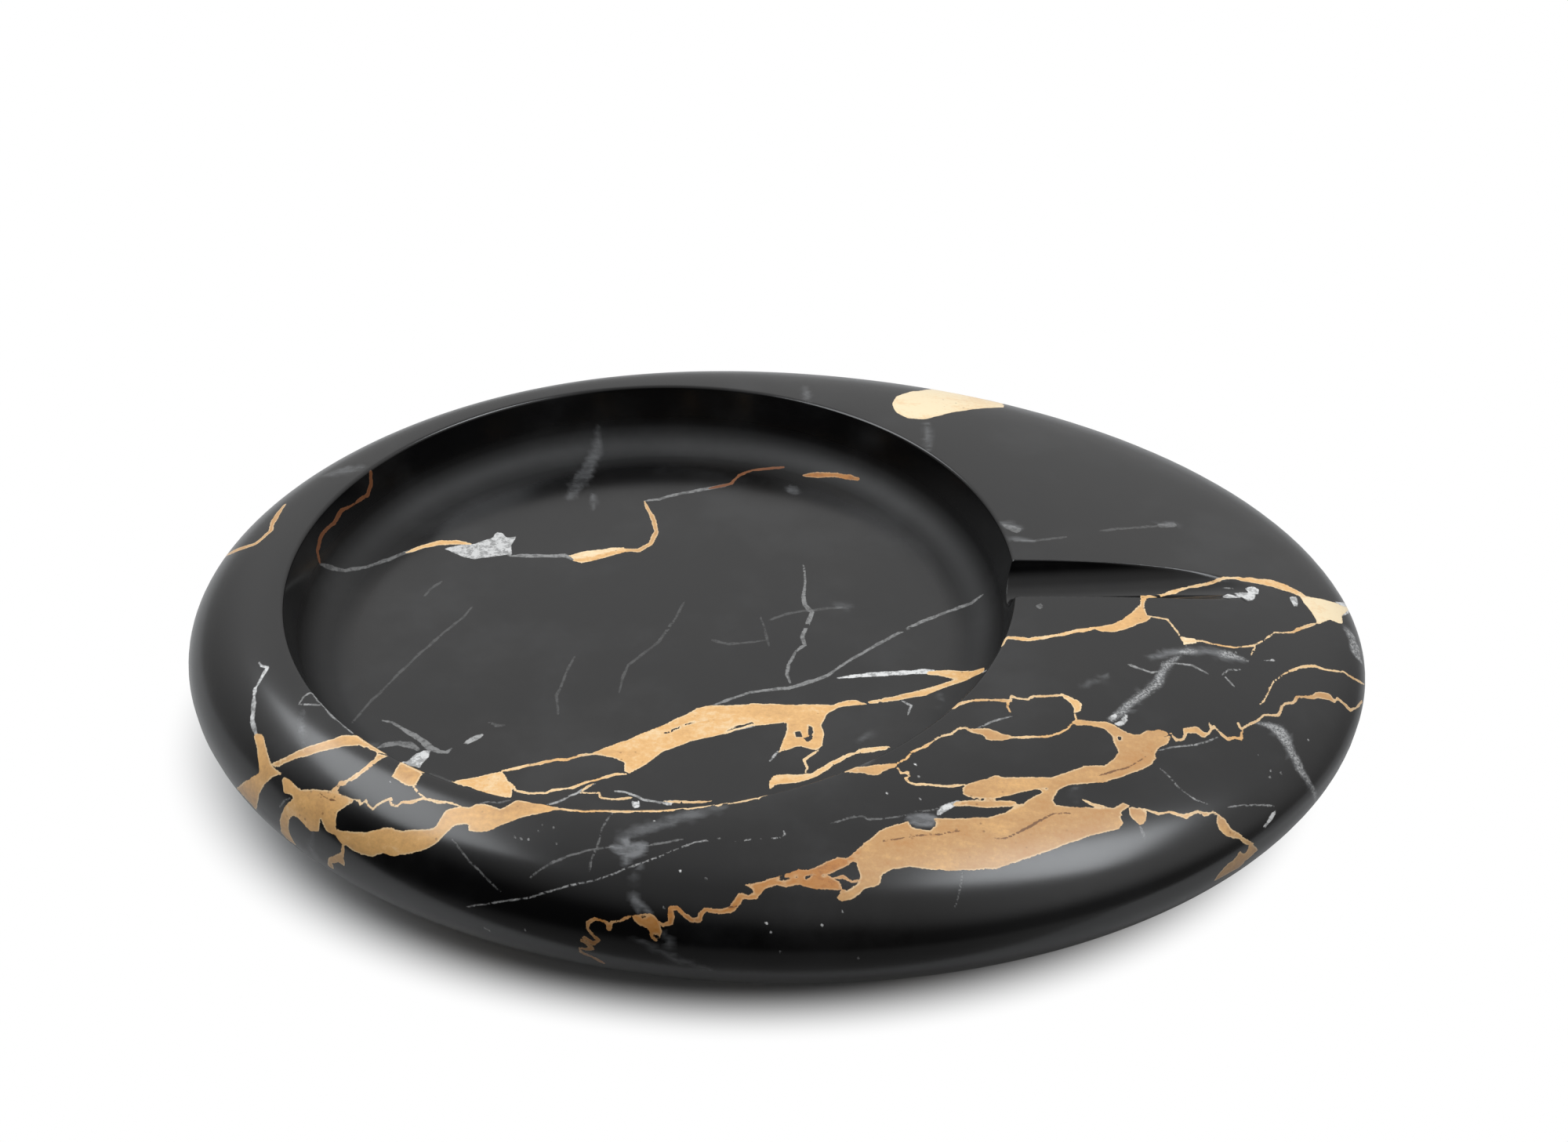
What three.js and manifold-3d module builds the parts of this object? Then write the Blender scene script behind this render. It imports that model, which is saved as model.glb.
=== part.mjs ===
// Marble ashtray: an oval stone with a round well set towards one end, a rest groove across
// the wide land at the other end, and four self-adhesive felt pads under the flat base.
// Millimetres, +Z up. The oval is centred on X = Y = 0, the groove leaves the well towards +X
// and the pads stand on Z = 0.
import * as THREE from 'three';
import { mergeVertices } from 'three/addons/utils/BufferGeometryUtils.js';
import Module from 'manifold-3d';

// Stone
const LENGTH = 200; // oval outline along X
const WIDTH = 158.8; // oval outline along Y
const STONE_HEIGHT = 30; // flat base to rim
const EDGE_HEIGHT = 18.7; // flat base to the widest line
const BASE_INSET = 30; // widest line in to the flat base

// Well
const WELL_DIAMETER = 123; // at the top of the wall
const WELL_DEPTH = 11.5;
const WELL_FILLET = 6; // wall into floor
const WELL_DRAFT = 15; // degrees that the wall leans out from upright
const ROUND_END_BAND = 17.5; // stone between the well and the end away from the groove
const RIM_EASE = 0.7; // rounding of the rim's sharp edge

// Rest groove, a round channel whose bottom rises outwards
const GROOVE_DIAMETER = 10.4;
const GROOVE_DEPTH = 4.6; // below the rim, at the channel's mouth in the well
const GROOVE_RISE = 2.3; // degrees
const GROOVE_TURN = 3.4; // degrees from the long axis, about the channel's mouth in the well
const GROOVE_OVERRUN = 10; // length of the cut past the wall and past the oval

// Felt pads and their adhesive
const PAD_DIAMETER = 20;
const FELT_THICKNESS = 1.7;
const ADHESIVE_THICKNESS = 0.3;
const ADHESIVE_INSET = 0.5; // adhesive's edge in from the felt's
const PAD_MARGIN = 6; // pad's edge in from the flat base's outline
const PAD_DIRECTIONS = { right_back: 28, left_back: 128, left_front: -128, right_front: -28 }; // degrees

// Mesh steps
const AROUND = 112;
const FILLET_STEPS = 6;
const EASE_STEPS = 2;
const DOME_STEPS = 10;
const UNDERSIDE_STEPS = 8;
const GROOVE_SIDES = 40;
const PAD_SIDES = 36;

// Places that follow from the sizes
const WELL_RADIUS = WELL_DIAMETER / 2;
const WELL_X = ROUND_END_BAND + WELL_RADIUS - LENGTH / 2;
const BASE_Z = FELT_THICKNESS + ADHESIVE_THICKNESS;
const EDGE_Z = BASE_Z + EDGE_HEIGHT;
const RIM_Z = BASE_Z + STONE_HEIGHT;
const FLOOR_Z = RIM_Z - WELL_DEPTH;
const WALL_SLOPE = THREE.MathUtils.degToRad(90 - WELL_DRAFT);
const RIM_RADIUS = WELL_RADIUS + RIM_EASE * Math.sin(WALL_SLOPE);

const blackMarble = new THREE.MeshStandardMaterial({ color: 0x1c1c1d, roughness: 0.28, metalness: 0 });
const greyFelt = new THREE.MeshStandardMaterial({ color: 0x3a3836, roughness: 0.95, metalness: 0 });
const clearAdhesive = new THREE.MeshStandardMaterial({ color: 0xcfc9b8, roughness: 0.6, metalness: 0 });

// Distance from the well's axis out to the oval in one direction.
function reachOfOval(angle) {
  const inverseA2 = 4 / LENGTH ** 2;
  const inverseB2 = 4 / WIDTH ** 2;
  const cos = Math.cos(angle);
  const quadratic = cos ** 2 * inverseA2 + Math.sin(angle) ** 2 * inverseB2;
  const halfLinear = WELL_X * cos * inverseA2;
  const constant = WELL_X ** 2 * inverseA2 - 1;
  return (-halfLinear + Math.sqrt(halfLinear ** 2 - quadratic * constant)) / quadratic;
}

// Equal steps over a turn, without its first end.
function turns(steps, whole = Math.PI / 2) {
  return Array.from({ length: steps }, (_, i) => ((i + 1) / steps) * whole);
}

// The stone's section from the well's centre, over the rim, round the edge to the base's centre.
// A station's distance from the well's axis depends on how far away the oval is there.
function stoneStations() {
  const stations = [];
  const add = (z, radiusAt) => stations.push({ z, radiusAt });
  const wallTop = RIM_Z - RIM_EASE * (1 - Math.cos(WALL_SLOPE));
  const wallFoot = FLOOR_Z + WELL_FILLET * (1 - Math.cos(WALL_SLOPE));
  const footRadius = WELL_RADIUS - (wallTop - wallFoot) / Math.tan(WALL_SLOPE);
  const floorRadius = footRadius - WELL_FILLET * Math.sin(WALL_SLOPE);
  add(FLOOR_Z, () => 0);
  add(FLOOR_Z, () => floorRadius);
  for (const turn of turns(FILLET_STEPS, WALL_SLOPE)) {
    const radius = floorRadius + WELL_FILLET * Math.sin(turn);
    add(FLOOR_Z + WELL_FILLET * (1 - Math.cos(turn)), () => radius);
  }
  add(wallTop, () => WELL_RADIUS);
  for (const turn of turns(EASE_STEPS, WALL_SLOPE)) {
    const radius = RIM_RADIUS - RIM_EASE * Math.sin(WALL_SLOPE - turn);
    add(RIM_Z - RIM_EASE * (1 - Math.cos(WALL_SLOPE - turn)), () => radius);
  }
  for (const turn of turns(DOME_STEPS)) {
    const share = Math.sin(turn);
    const z = EDGE_Z + (RIM_Z - EDGE_Z) * Math.cos(turn);
    add(z, (reach) => RIM_RADIUS + (reach - RIM_RADIUS) * share);
  }
  for (const turn of turns(UNDERSIDE_STEPS)) {
    const inset = BASE_INSET * (1 - Math.cos(turn));
    add(EDGE_Z - EDGE_HEIGHT * Math.sin(turn), (reach) => reach - inset);
  }
  add(BASE_Z, () => 0);
  return stations.reverse();
}

// The section is turned about the well's axis, then its outer skin is drawn out to the oval.
function stoneBlank() {
  const stations = stoneStations();
  const profile = stations.map(({ z, radiusAt }) => new THREE.Vector2(radiusAt(reachOfOval(Math.PI)), z));
  const blank = new THREE.LatheGeometry(profile, AROUND).rotateX(Math.PI / 2);
  const position = blank.getAttribute('position');
  for (let i = 0; i < position.count; i += 1) {
    const { z, radiusAt } = stations[i % stations.length];
    const column = Math.floor(i / stations.length) % AROUND;
    const angle = (column / AROUND) * 2 * Math.PI - Math.PI / 2;
    const radius = radiusAt(reachOfOval(angle));
    position.setXYZ(i, radius * Math.cos(angle), radius * Math.sin(angle), z);
  }
  return blank;
}

// The channel's cutter, from inside the well to past the oval's end, turned about its mouth.
function grooveCutter() {
  const start = -GROOVE_OVERRUN;
  const end = reachOfOval(0) - WELL_RADIUS + GROOVE_OVERRUN;
  const radius = GROOVE_DIAMETER / 2;
  const cutter = new THREE.CylinderGeometry(radius, radius, end - start, GROOVE_SIDES);
  cutter.rotateZ(Math.PI / 2).translate((start + end) / 2, 0, 0);
  cutter.rotateY(-THREE.MathUtils.degToRad(GROOVE_RISE));
  cutter.rotateZ(THREE.MathUtils.degToRad(GROOVE_TURN));
  return cutter.translate(WELL_RADIUS, 0, RIM_Z - GROOVE_DEPTH + radius);
}

const wasm = await Module();
wasm.setup();

function toSolid(geometry) {
  geometry.deleteAttribute('normal');
  geometry.deleteAttribute('uv');
  const merged = mergeVertices(geometry);
  return new wasm.Manifold(new wasm.Mesh({
    numProp: 3,
    vertProperties: new Float32Array(merged.getAttribute('position').array),
    triVerts: new Uint32Array(merged.getIndex().array),
  }));
}

function toGeometry(solid) {
  const { vertProperties, triVerts } = solid.getMesh();
  const geometry = new THREE.BufferGeometry();
  geometry.setAttribute('position', new THREE.BufferAttribute(vertProperties, 3));
  geometry.setIndex(new THREE.BufferAttribute(triVerts, 1));
  geometry.computeVertexNormals();
  return geometry;
}

function namedMesh(name, geometry, material) {
  const mesh = new THREE.Mesh(geometry, material);
  mesh.name = name;
  return mesh;
}

// The carved stone, with the well's axis as its own origin.
function marbleBody() {
  const carved = toSolid(stoneBlank()).subtract(toSolid(grooveCutter()));
  return namedMesh('marble_body', toGeometry(carved), blackMarble);
}

// A disc lying flat, given by its diameter, its thickness and its underside's height.
function disc(name, diameter, thickness, undersideZ, material) {
  const geometry = new THREE.CylinderGeometry(diameter / 2, diameter / 2, thickness, PAD_SIDES);
  const mesh = namedMesh(name, geometry.rotateX(Math.PI / 2), material);
  mesh.position.z = undersideZ + thickness / 2;
  return mesh;
}

// One pad: felt on the floor, and its adhesive between the felt and the stone.
function feltPad(place, degrees) {
  const angle = THREE.MathUtils.degToRad(degrees);
  const distance = reachOfOval(angle) - BASE_INSET - PAD_MARGIN - PAD_DIAMETER / 2;
  const adhesiveDiameter = PAD_DIAMETER - 2 * ADHESIVE_INSET;
  const pad = new THREE.Group();
  pad.position.set(distance * Math.cos(angle), distance * Math.sin(angle), 0);
  pad.add(disc(`felt_pad_${place}`, PAD_DIAMETER, FELT_THICKNESS, 0, greyFelt));
  pad.add(disc(`adhesive_${place}`, adhesiveDiameter, ADHESIVE_THICKNESS, FELT_THICKNESS, clearAdhesive));
  return pad;
}

const ashtray = new THREE.Group();
ashtray.position.x = WELL_X;
ashtray.add(marbleBody());
for (const [place, degrees] of Object.entries(PAD_DIRECTIONS)) {
  ashtray.add(feltPad(place, degrees));
}

export default ashtray;
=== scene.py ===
# %% [markdown]
# # A black marble ashtray
#
# The real object is one oval block of black stone, turned and ground to a soft dome, with a round
# well cut off centre, a rest groove across the wide land, and four felt pads stuck under the base.
# The frame holds the solids of the part. This lesson dresses them: the stone gets a smooth skin and
# its veins, the pads get their felt, and a plain white studio shows them as the photograph does.

# %% Load the frame
import math
import bmesh
import bpy
import numpy as np
from mathutils import Euler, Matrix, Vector, noise
from mathutils.bvhtree import BVHTree


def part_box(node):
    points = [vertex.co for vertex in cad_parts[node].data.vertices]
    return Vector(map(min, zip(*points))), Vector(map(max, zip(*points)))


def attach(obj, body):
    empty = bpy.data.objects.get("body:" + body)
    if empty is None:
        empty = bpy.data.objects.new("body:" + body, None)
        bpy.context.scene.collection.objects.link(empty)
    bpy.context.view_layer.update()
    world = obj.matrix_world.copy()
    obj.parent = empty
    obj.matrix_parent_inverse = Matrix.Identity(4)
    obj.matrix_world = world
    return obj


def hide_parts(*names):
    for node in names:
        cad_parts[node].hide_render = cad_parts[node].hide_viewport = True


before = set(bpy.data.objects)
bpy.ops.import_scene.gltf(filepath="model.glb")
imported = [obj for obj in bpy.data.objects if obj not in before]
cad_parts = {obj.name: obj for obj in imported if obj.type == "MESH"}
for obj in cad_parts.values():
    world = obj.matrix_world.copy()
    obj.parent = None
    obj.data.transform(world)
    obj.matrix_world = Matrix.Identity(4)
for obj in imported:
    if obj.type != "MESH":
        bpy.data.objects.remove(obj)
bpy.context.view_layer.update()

MM = 0.001
stone_low, stone_high = (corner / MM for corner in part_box("marble_body"))
print("stone, mm:", [round(side, 1) for side in stone_high - stone_low])

# %% [markdown]
# ## The camera
#
# The photograph looks down on the tray at about 35 degrees. Elevation, distance and lens were found
# by fitting the oval's outline and the round rim of the well to the picture. The camera comes first
# here, because the veins are later thrown onto the stone along its rays.

# %% Camera
PHOTO_WIDTH, PHOTO_HEIGHT = 2000, 1457
FOCAL_PIXELS = 2692.7
CAMERA_ELEVATION = math.radians(34.97)
CAMERA_TURN = math.radians(2.73)
CAMERA_DISTANCE = 364.7
CAMERA_SHIFT_RIGHT, CAMERA_SHIFT_UP = 1.55, 9.3
AIM_HEIGHT = 20.7
SENSOR_WIDTH = 36
NEAREST_SEEN = 0.01

camera_turn = Euler((math.pi / 2 - CAMERA_ELEVATION, 0, CAMERA_TURN)).to_matrix()
camera_place = camera_turn @ Vector((CAMERA_SHIFT_RIGHT, CAMERA_SHIFT_UP, CAMERA_DISTANCE))
camera_place += Vector((0, 0, AIM_HEIGHT))


def put_in_scene(name, data):
    """An object for a mesh, a lamp or a camera."""
    piece = bpy.data.objects.new(name, data)
    bpy.context.collection.objects.link(piece)
    return piece


camera_data = bpy.data.cameras.new("camera")
camera_data.sensor_width = SENSOR_WIDTH
camera_data.sensor_fit = "HORIZONTAL"
camera_data.lens = FOCAL_PIXELS / PHOTO_WIDTH * SENSOR_WIDTH
camera_data.clip_start = NEAREST_SEEN
camera = put_in_scene("camera", camera_data)
camera.location = camera_place * MM
camera.rotation_euler = camera_turn.to_euler()
bpy.context.scene.camera = camera
print("lens, mm:", round(camera_data.lens, 2), "camera at, mm:", [round(x, 1) for x in camera_place])

# %% [markdown]
# ## The stone's section
#
# A mason turns the well on a lathe and grinds the outside to an oval. So one section is enough: from
# the well's centre along the floor, up the fillet and the wall, over the rim, down the dome to the
# widest line, and back under to the base. Only the outer skin depends on the direction, because the
# oval is nearer on one side than on the other. Every stretch of the section adds its own part to the
# radius and to the height, so the whole stone is one short formula of a station and an angle. The
# rest groove is a round channel that rises outwards. Where it lies lower than the section, the stone
# takes the channel's height, and the lip between them is rounded.

# %% Sizes of the stone
LENGTH, WIDTH = stone_high.x - stone_low.x, stone_high.y - stone_low.y
BASE_Z, RIM_Z = stone_low.z, stone_high.z
EDGE_HEIGHT = 18.7
BASE_INSET = 30
WELL_RADIUS = 61.5
WELL_DEPTH = 11.5
WELL_FILLET = 6
WALL_SLOPE = math.radians(75)
ROUND_END_BAND = 17.5
RIM_EASE = 0.7
GROOVE_RADIUS = 5.2
GROOVE_DEPTH = 4.6
GROOVE_RISE = math.tan(math.radians(2.3))
GROOVE_STEEPEST = math.radians(72)
GROOVE_TURN = math.radians(3.4)
LIP_NEAR, LIP_FAR = 0.8, 0.4
QUARTER = math.pi / 2
DOME_SPAN, UNDER_SPAN, BASE_SPAN = 40, 36, 50
TINY = 1e-9

WELL_X = ROUND_END_BAND + WELL_RADIUS - LENGTH / 2
EDGE_Z = BASE_Z + EDGE_HEIGHT
FLOOR_Z = RIM_Z - WELL_DEPTH
RIM_RADIUS = WELL_RADIUS + RIM_EASE * math.sin(WALL_SLOPE)
WALL_TOP = RIM_Z - RIM_EASE * (1 - math.cos(WALL_SLOPE))
WALL_FOOT = FLOOR_Z + WELL_FILLET * (1 - math.cos(WALL_SLOPE))
WALL_RUN = (WALL_TOP - WALL_FOOT) / math.tan(WALL_SLOPE)

FLOOR_END = WELL_RADIUS - WALL_RUN - WELL_FILLET * math.sin(WALL_SLOPE)
FILLET_END = FLOOR_END + WELL_FILLET * WALL_SLOPE
WALL_END = FILLET_END + math.hypot(WALL_RUN, WALL_TOP - WALL_FOOT)
EASE_END = WALL_END + RIM_EASE * WALL_SLOPE
DOME_END = EASE_END + DOME_SPAN
UNDER_END = DOME_END + UNDER_SPAN
BASE_END = UNDER_END + BASE_SPAN
print("well's centre at x", round(WELL_X, 2), "and its floor at z", round(FLOOR_Z, 2))


# %% The formula of the stone
def reach_of_oval(angle):
    """Distance from the well's axis to the oval."""
    cos, sin = np.cos(angle), np.sin(angle)
    square = (2 * cos / LENGTH) ** 2 + (2 * sin / WIDTH) ** 2
    half_linear = WELL_X * cos * (2 / LENGTH) ** 2
    constant = (2 * WELL_X / LENGTH) ** 2 - 1
    return (-half_linear + np.sqrt(half_linear**2 - square * constant)) / square


def lower_of(a, b, ease):
    """The smaller of two heights, with the corner between them rounded."""
    share = np.clip(0.5 + 0.5 * (b - a) / ease, 0, 1)
    return b * (1 - share) + a * share - ease * share * (1 - share)


def stone_section(station, angle):
    """Distance from the well's axis and height, in mm, before the groove is cut."""
    def share(start, end):
        return np.clip((station - start) / (end - start), 0, 1)

    fillet = share(FLOOR_END, FILLET_END) * WALL_SLOPE
    wall = share(FILLET_END, WALL_END)
    ease = WALL_SLOPE * (1 - share(WALL_END, EASE_END))
    dome = share(EASE_END, DOME_END) * QUARTER
    under = share(DOME_END, UNDER_END) * QUARTER
    radius = np.minimum(station, FLOOR_END) + WELL_FILLET * np.sin(fillet) + WALL_RUN * wall
    radius = radius + RIM_EASE * (math.sin(WALL_SLOPE) - np.sin(ease))
    radius = radius + (reach_of_oval(angle) - RIM_RADIUS) * np.sin(dome)
    radius = radius - BASE_INSET * (1 - np.cos(under))
    height = FLOOR_Z + WELL_FILLET * (1 - np.cos(fillet)) + (WALL_TOP - WALL_FOOT) * wall
    height = height + RIM_EASE * (np.cos(ease) - math.cos(WALL_SLOPE))
    height = height - (RIM_Z - EDGE_Z) * (1 - np.cos(dome)) - EDGE_HEIGHT * np.sin(under)
    return radius * (1 - share(UNDER_END, BASE_END)), height


def groove_across(radius, angle):
    """Places along the channel from its mouth, and across it."""
    out = radius * np.cos(angle) - WELL_RADIUS
    aside = radius * np.sin(angle)
    along = out * math.cos(GROOVE_TURN) + aside * math.sin(GROOVE_TURN)
    return along, aside * math.cos(GROOVE_TURN) - out * math.sin(GROOVE_TURN)


def groove_height(radius, angle):
    """Height of the channel's skin: a round bottom that rises outwards, and straight steep sides."""
    along, across = groove_across(radius, angle)
    turn = np.minimum(np.abs(across), GROOVE_RADIUS * math.sin(GROOVE_STEEPEST))
    side = (np.abs(across) - turn) * math.tan(GROOVE_STEEPEST)
    bottom = RIM_Z - GROOVE_DEPTH + along * GROOVE_RISE
    channel = bottom + GROOVE_RADIUS - np.sqrt(GROOVE_RADIUS**2 - turn**2) + side
    return np.where(np.cos(angle) > 0, channel, RIM_Z + GROOVE_DEPTH)


def lip_rounding(radius, angle):
    """The near lip is ground rounder than the far one."""
    across = groove_across(radius, angle)[1]
    return LIP_NEAR + (LIP_FAR - LIP_NEAR) * np.clip(0.5 + across / GROOVE_RADIUS, 0, 1)


def stone_point(station, angle):
    """Points of the stone's surface, in mm."""
    radius, height = stone_section(station, angle)
    height = lower_of(height, groove_height(radius, angle), lip_rounding(radius, angle))
    return np.stack([WELL_X + radius * np.cos(angle), radius * np.sin(angle), height], -1)


def stone_normal(station, angle):
    """Unit normals of the surface, from two short steps along it."""
    step, turn = 0.02, 0.0005
    along = stone_point(station + step, angle) - stone_point(np.maximum(station - step, 0), angle)
    across = stone_point(station, angle + turn) - stone_point(station, angle - turn)
    normal = np.cross(along, across)
    length = np.linalg.norm(normal, axis=-1, keepdims=True)
    upright = np.where(station > EASE_END, -1.0, 1.0)[..., None] * np.array([0.0, 0.0, 1.0])
    return np.where(length > TINY, normal / np.maximum(length, TINY), upright)


print("right tip:", np.round(stone_point(np.array(DOME_END), np.array(0.3)), 1))

# %% [markdown]
# ## The skin, laid out flat
#
# The skin starts as a flat disc: a row of vertices along the section, spun once round. Its distance
# from the middle is the station, and its direction is the angle. In this state it is easy to cut the
# mesh finer where a vein needs it, and rolling it up to the stone is one call of the formula.

# %% Spin the flat disc
SPOKES = 200
MERGE = 1e-4
BASE_STEPS = 7
STRETCH_STEPS = {(0, FLOOR_END): 16, (FLOOR_END, FILLET_END): 8, (FILLET_END, WALL_END): 4,
                 (WALL_END, EASE_END): 4, (EASE_END, DOME_END): 24, (DOME_END, UNDER_END): 14}


def stations_of_section():
    stations = [np.linspace(*ends, steps, endpoint=False) for ends, steps in STRETCH_STEPS.items()]
    return np.concatenate(stations + [np.linspace(UNDER_END, BASE_END, BASE_STEPS)])


def in_order(mesh):
    """Gives edges and faces a fixed order, because merging doubles leaves them in a changing one."""
    mesh.verts.index_update()
    count = len(mesh.verts)

    def key(piece):
        total = 0
        for index in sorted(vertex.index for vertex in piece.verts):
            total = total * count + index
        return total

    mesh.edges.sort(key=key)
    mesh.faces.sort(key=key)


skin = bmesh.new()
row = [skin.verts.new((station, 0, 0)) for station in stations_of_section()]
for inner, outer in zip(row, row[1:]):
    skin.edges.new((inner, outer))
bmesh.ops.spin(skin, geom=skin.verts[:] + skin.edges[:], cent=(0, 0, 0), axis=(0, 0, 1),
               angle=2 * math.pi, steps=SPOKES, use_merge=True, use_duplicate=False)
bmesh.ops.remove_doubles(skin, verts=skin.verts, dist=MERGE)
bmesh.ops.triangulate(skin, faces=skin.faces)
in_order(skin)
print("flat disc:", len(skin.verts), "vertices,", len(skin.faces), "faces")


# %% Read the flat disc as stations and angles
def flat_places(mesh):
    """Station and angle of every vertex."""
    flat = np.array([vertex.co[:2] for vertex in mesh.verts])
    return np.hypot(flat[:, 0], flat[:, 1]), np.arctan2(flat[:, 1], flat[:, 0])


# %% [markdown]
# ## Throwing the veins onto the stone
#
# The veins are the face of this stone, so they follow the photograph. Each one is a short list of
# picture points. A ray through such a point meets the rolled-up stone in one place, and that place
# is where the vein runs. A point that lands on the wrong side of the rim, where the far floor shows
# just above the near edge, is moved a few pixels until it meets the right surface.

# %% Rays from the camera
RIM_SLACK = 0.2
NUDGES = range(0, 16, 2)

first_points = stone_point(*flat_places(skin))
first_faces = [[vertex.index for vertex in face.verts] for face in skin.faces]
skin_tree = BVHTree.FromPolygons([tuple(point) for point in first_points], first_faces)


def pixel_ray(x, y):
    across = (x - PHOTO_WIDTH / 2) / FOCAL_PIXELS
    down = (y - PHOTO_HEIGHT / 2) / FOCAL_PIXELS
    return (camera_turn @ Vector((across, -down, -1))).normalized()


def to_pixels(points):
    """Picture positions of points in mm."""
    seen = (points - np.array(camera_place)) @ np.array(camera_turn)
    return np.stack([PHOTO_WIDTH / 2 - FOCAL_PIXELS * seen[:, 0] / seen[:, 2],
                     PHOTO_HEIGHT / 2 + FOCAL_PIXELS * seen[:, 1] / seen[:, 2]], -1)


def in_well(point):
    return math.hypot(point[0] - WELL_X, point[1]) < WELL_RADIUS + RIM_SLACK


def throw(x, y, well):
    """Where a picture point lies on the stone."""
    for nudge in NUDGES:
        ray = pixel_ray(x, y - nudge if well else y + nudge)
        hit = skin_tree.ray_cast(camera_place, ray)[0]
        if hit and in_well(hit) == well:
            return np.array(hit)
    return None


print("picture centre lands at", np.round(throw(PHOTO_WIDTH / 2, PHOTO_HEIGHT / 2, True), 1))


# %% A vein on the stone
SWAY_SEED = 3
noise.seed_set(SWAY_SEED)


class Vein:
    """A closed patch or an open line on the stone. Its distances are in mm, below zero inside."""

    REACH = 7
    STEP = 5
    SWAY_LENGTH, SWAY, SWELL = 13, 0.9, 0.4
    END_WIDTH, END_GROWTH = 0.55, 0.25
    WIDEST = 2.5

    def __init__(self, route, well, tone, width=None):
        """A route's points are picture positions, and may carry a half width of their own."""
        self.tone, self.well, self.closed = tone, well, width is None
        route = [point if len(point) == 3 else (*point, width or 0) for point in route]
        route = self.natural(self.finer(route + route[:1] if self.closed else route))
        self.pixels = route[:, :2]
        places = [throw(x, y, well) for x, y in self.pixels]
        kept = [i for i, place in enumerate(places) if place is not None]
        self.points = np.array([places[i] for i in kept]).reshape(-1, 3)
        self.halves = np.array([self.half_width(i, route[i, 2]) for i in kept])

    def finer(self, route):
        """The same route with points close enough to follow the curved stone."""
        ends = np.array(route, float)
        out = [ends[0]]
        for start, end in zip(ends, ends[1:]):
            pieces = max(1, math.ceil(math.dist(start[:2], end[:2]) / self.STEP))
            out += [start + (end - start) * i / pieces for i in range(1, pieces + 1)]
        return np.array(out)

    def natural(self, route):
        """Lets the route sway and its width swell a little, and thins its open ends."""
        last = len(route) - 1
        for i, (x, y, width) in enumerate(route):
            sway = noise.noise_vector(Vector((x, y, 0)) / self.SWAY_LENGTH)
            end = min(1, self.END_WIDTH + self.END_GROWTH * min(i, last - i))
            width = width * end * (1 + self.SWELL * sway.z)
            route[i] = x + self.SWAY * sway.x, y + self.SWAY * sway.y, width
        return route

    def half_width(self, i, pixels):
        """What a half width in pixels, square to the line, measures on the stone."""
        if self.closed:
            return 0
        before = self.pixels[max(i - 1, 0)]
        after = self.pixels[min(i + 1, len(self.pixels) - 1)]
        side = np.array([before[1] - after[1], after[0] - before[0]])
        side = side / max(np.hypot(*side), TINY) * pixels
        a = throw(*(self.pixels[i] + side), self.well)
        b = throw(*(self.pixels[i] - side), self.well)
        plain = pixels * CAMERA_DISTANCE / FOCAL_PIXELS
        if a is None or b is None:
            return plain
        return min(max(np.linalg.norm(a - b) / 2, plain), self.WIDEST * plain)

    def inside(self, pixels):
        """Even-odd test of picture positions against the patch's outline."""
        odd = np.zeros(len(pixels), bool)
        for (x0, y0), (x1, y1) in zip(self.pixels, self.pixels[1:]):
            if y0 != y1:
                crosses = (y0 > pixels[:, 1]) != (y1 > pixels[:, 1])
                odd ^= crosses & (pixels[:, 0] < x0 + (pixels[:, 1] - y0) * (x1 - x0) / (y1 - y0))
        return odd

    def distance(self, points, pixels, shown, wells):
        """Distances of the stone's points from this vein's edge, no more than its reach."""
        out = np.full(len(points), float(self.REACH))
        if len(self.points) < 2:
            return out
        low, high = self.points.min(0) - self.REACH, self.points.max(0) + self.REACH
        near = np.flatnonzero(((points > low) & (points < high)).all(1))
        best = out[near]
        halves = zip(self.halves, self.halves[1:])
        for a, b, (wide_a, wide_b) in zip(self.points, self.points[1:], halves):
            run = b - a
            t = np.clip((points[near] - a) @ run / max(run @ run, TINY), 0, 1)
            gap = np.linalg.norm(points[near] - a - t[:, None] * run, axis=1)
            best = np.minimum(best, gap - wide_a - (wide_b - wide_a) * t)
        if self.closed:
            within = self.inside(pixels[near]) & shown[near] & (wells[near] == self.well)
            best = np.where(within, -best, best)
        out[near] = best
        return out


# %% Many veins at once
SKIN, WELL = False, True


def route(text):
    """Picture points, each x,y with a third number where the line has a half width of its own."""
    return [tuple(float(number) for number in point.split(",")) for point in text.split()]


def routes(text):
    return [route(part) for part in text.split(";")]


def veins(well, patches=(), lines=()):
    """Patches are rows of a tone and outlines, lines are rows of a tone, a half width and routes."""
    made = [Vein(outline, well, tone) for tone, outlines in patches for outline in outlines]
    return made + [Vein(line, well, tone, width) for tone, width, drawn in lines for line in drawn]


# %% [markdown]
# ## Gold veins on the outer skin
#
# The gold is limonite-stained calcite that filled old cracks. It swells into ribbons and thins into
# zigzag stitches. Wide parts are outlines, thin parts are centre lines with a half width in pixels.
# The tone runs from 0 for cream over bright gold and tan to 1 for rust.

# %% Front left cluster and the rim's front
CREAM, IVORY, BRIGHT, AMBER, HONEY, PALE = 0.03, 0.12, 0.27, 0.33, 0.36, 0.38
TAN, SIENNA, UMBER_AND_SHADE, BURNT, OCHRE, RED_BROWN = 0.5, 0.72, 0.76, 0.78, 0.8, 1.15

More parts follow.
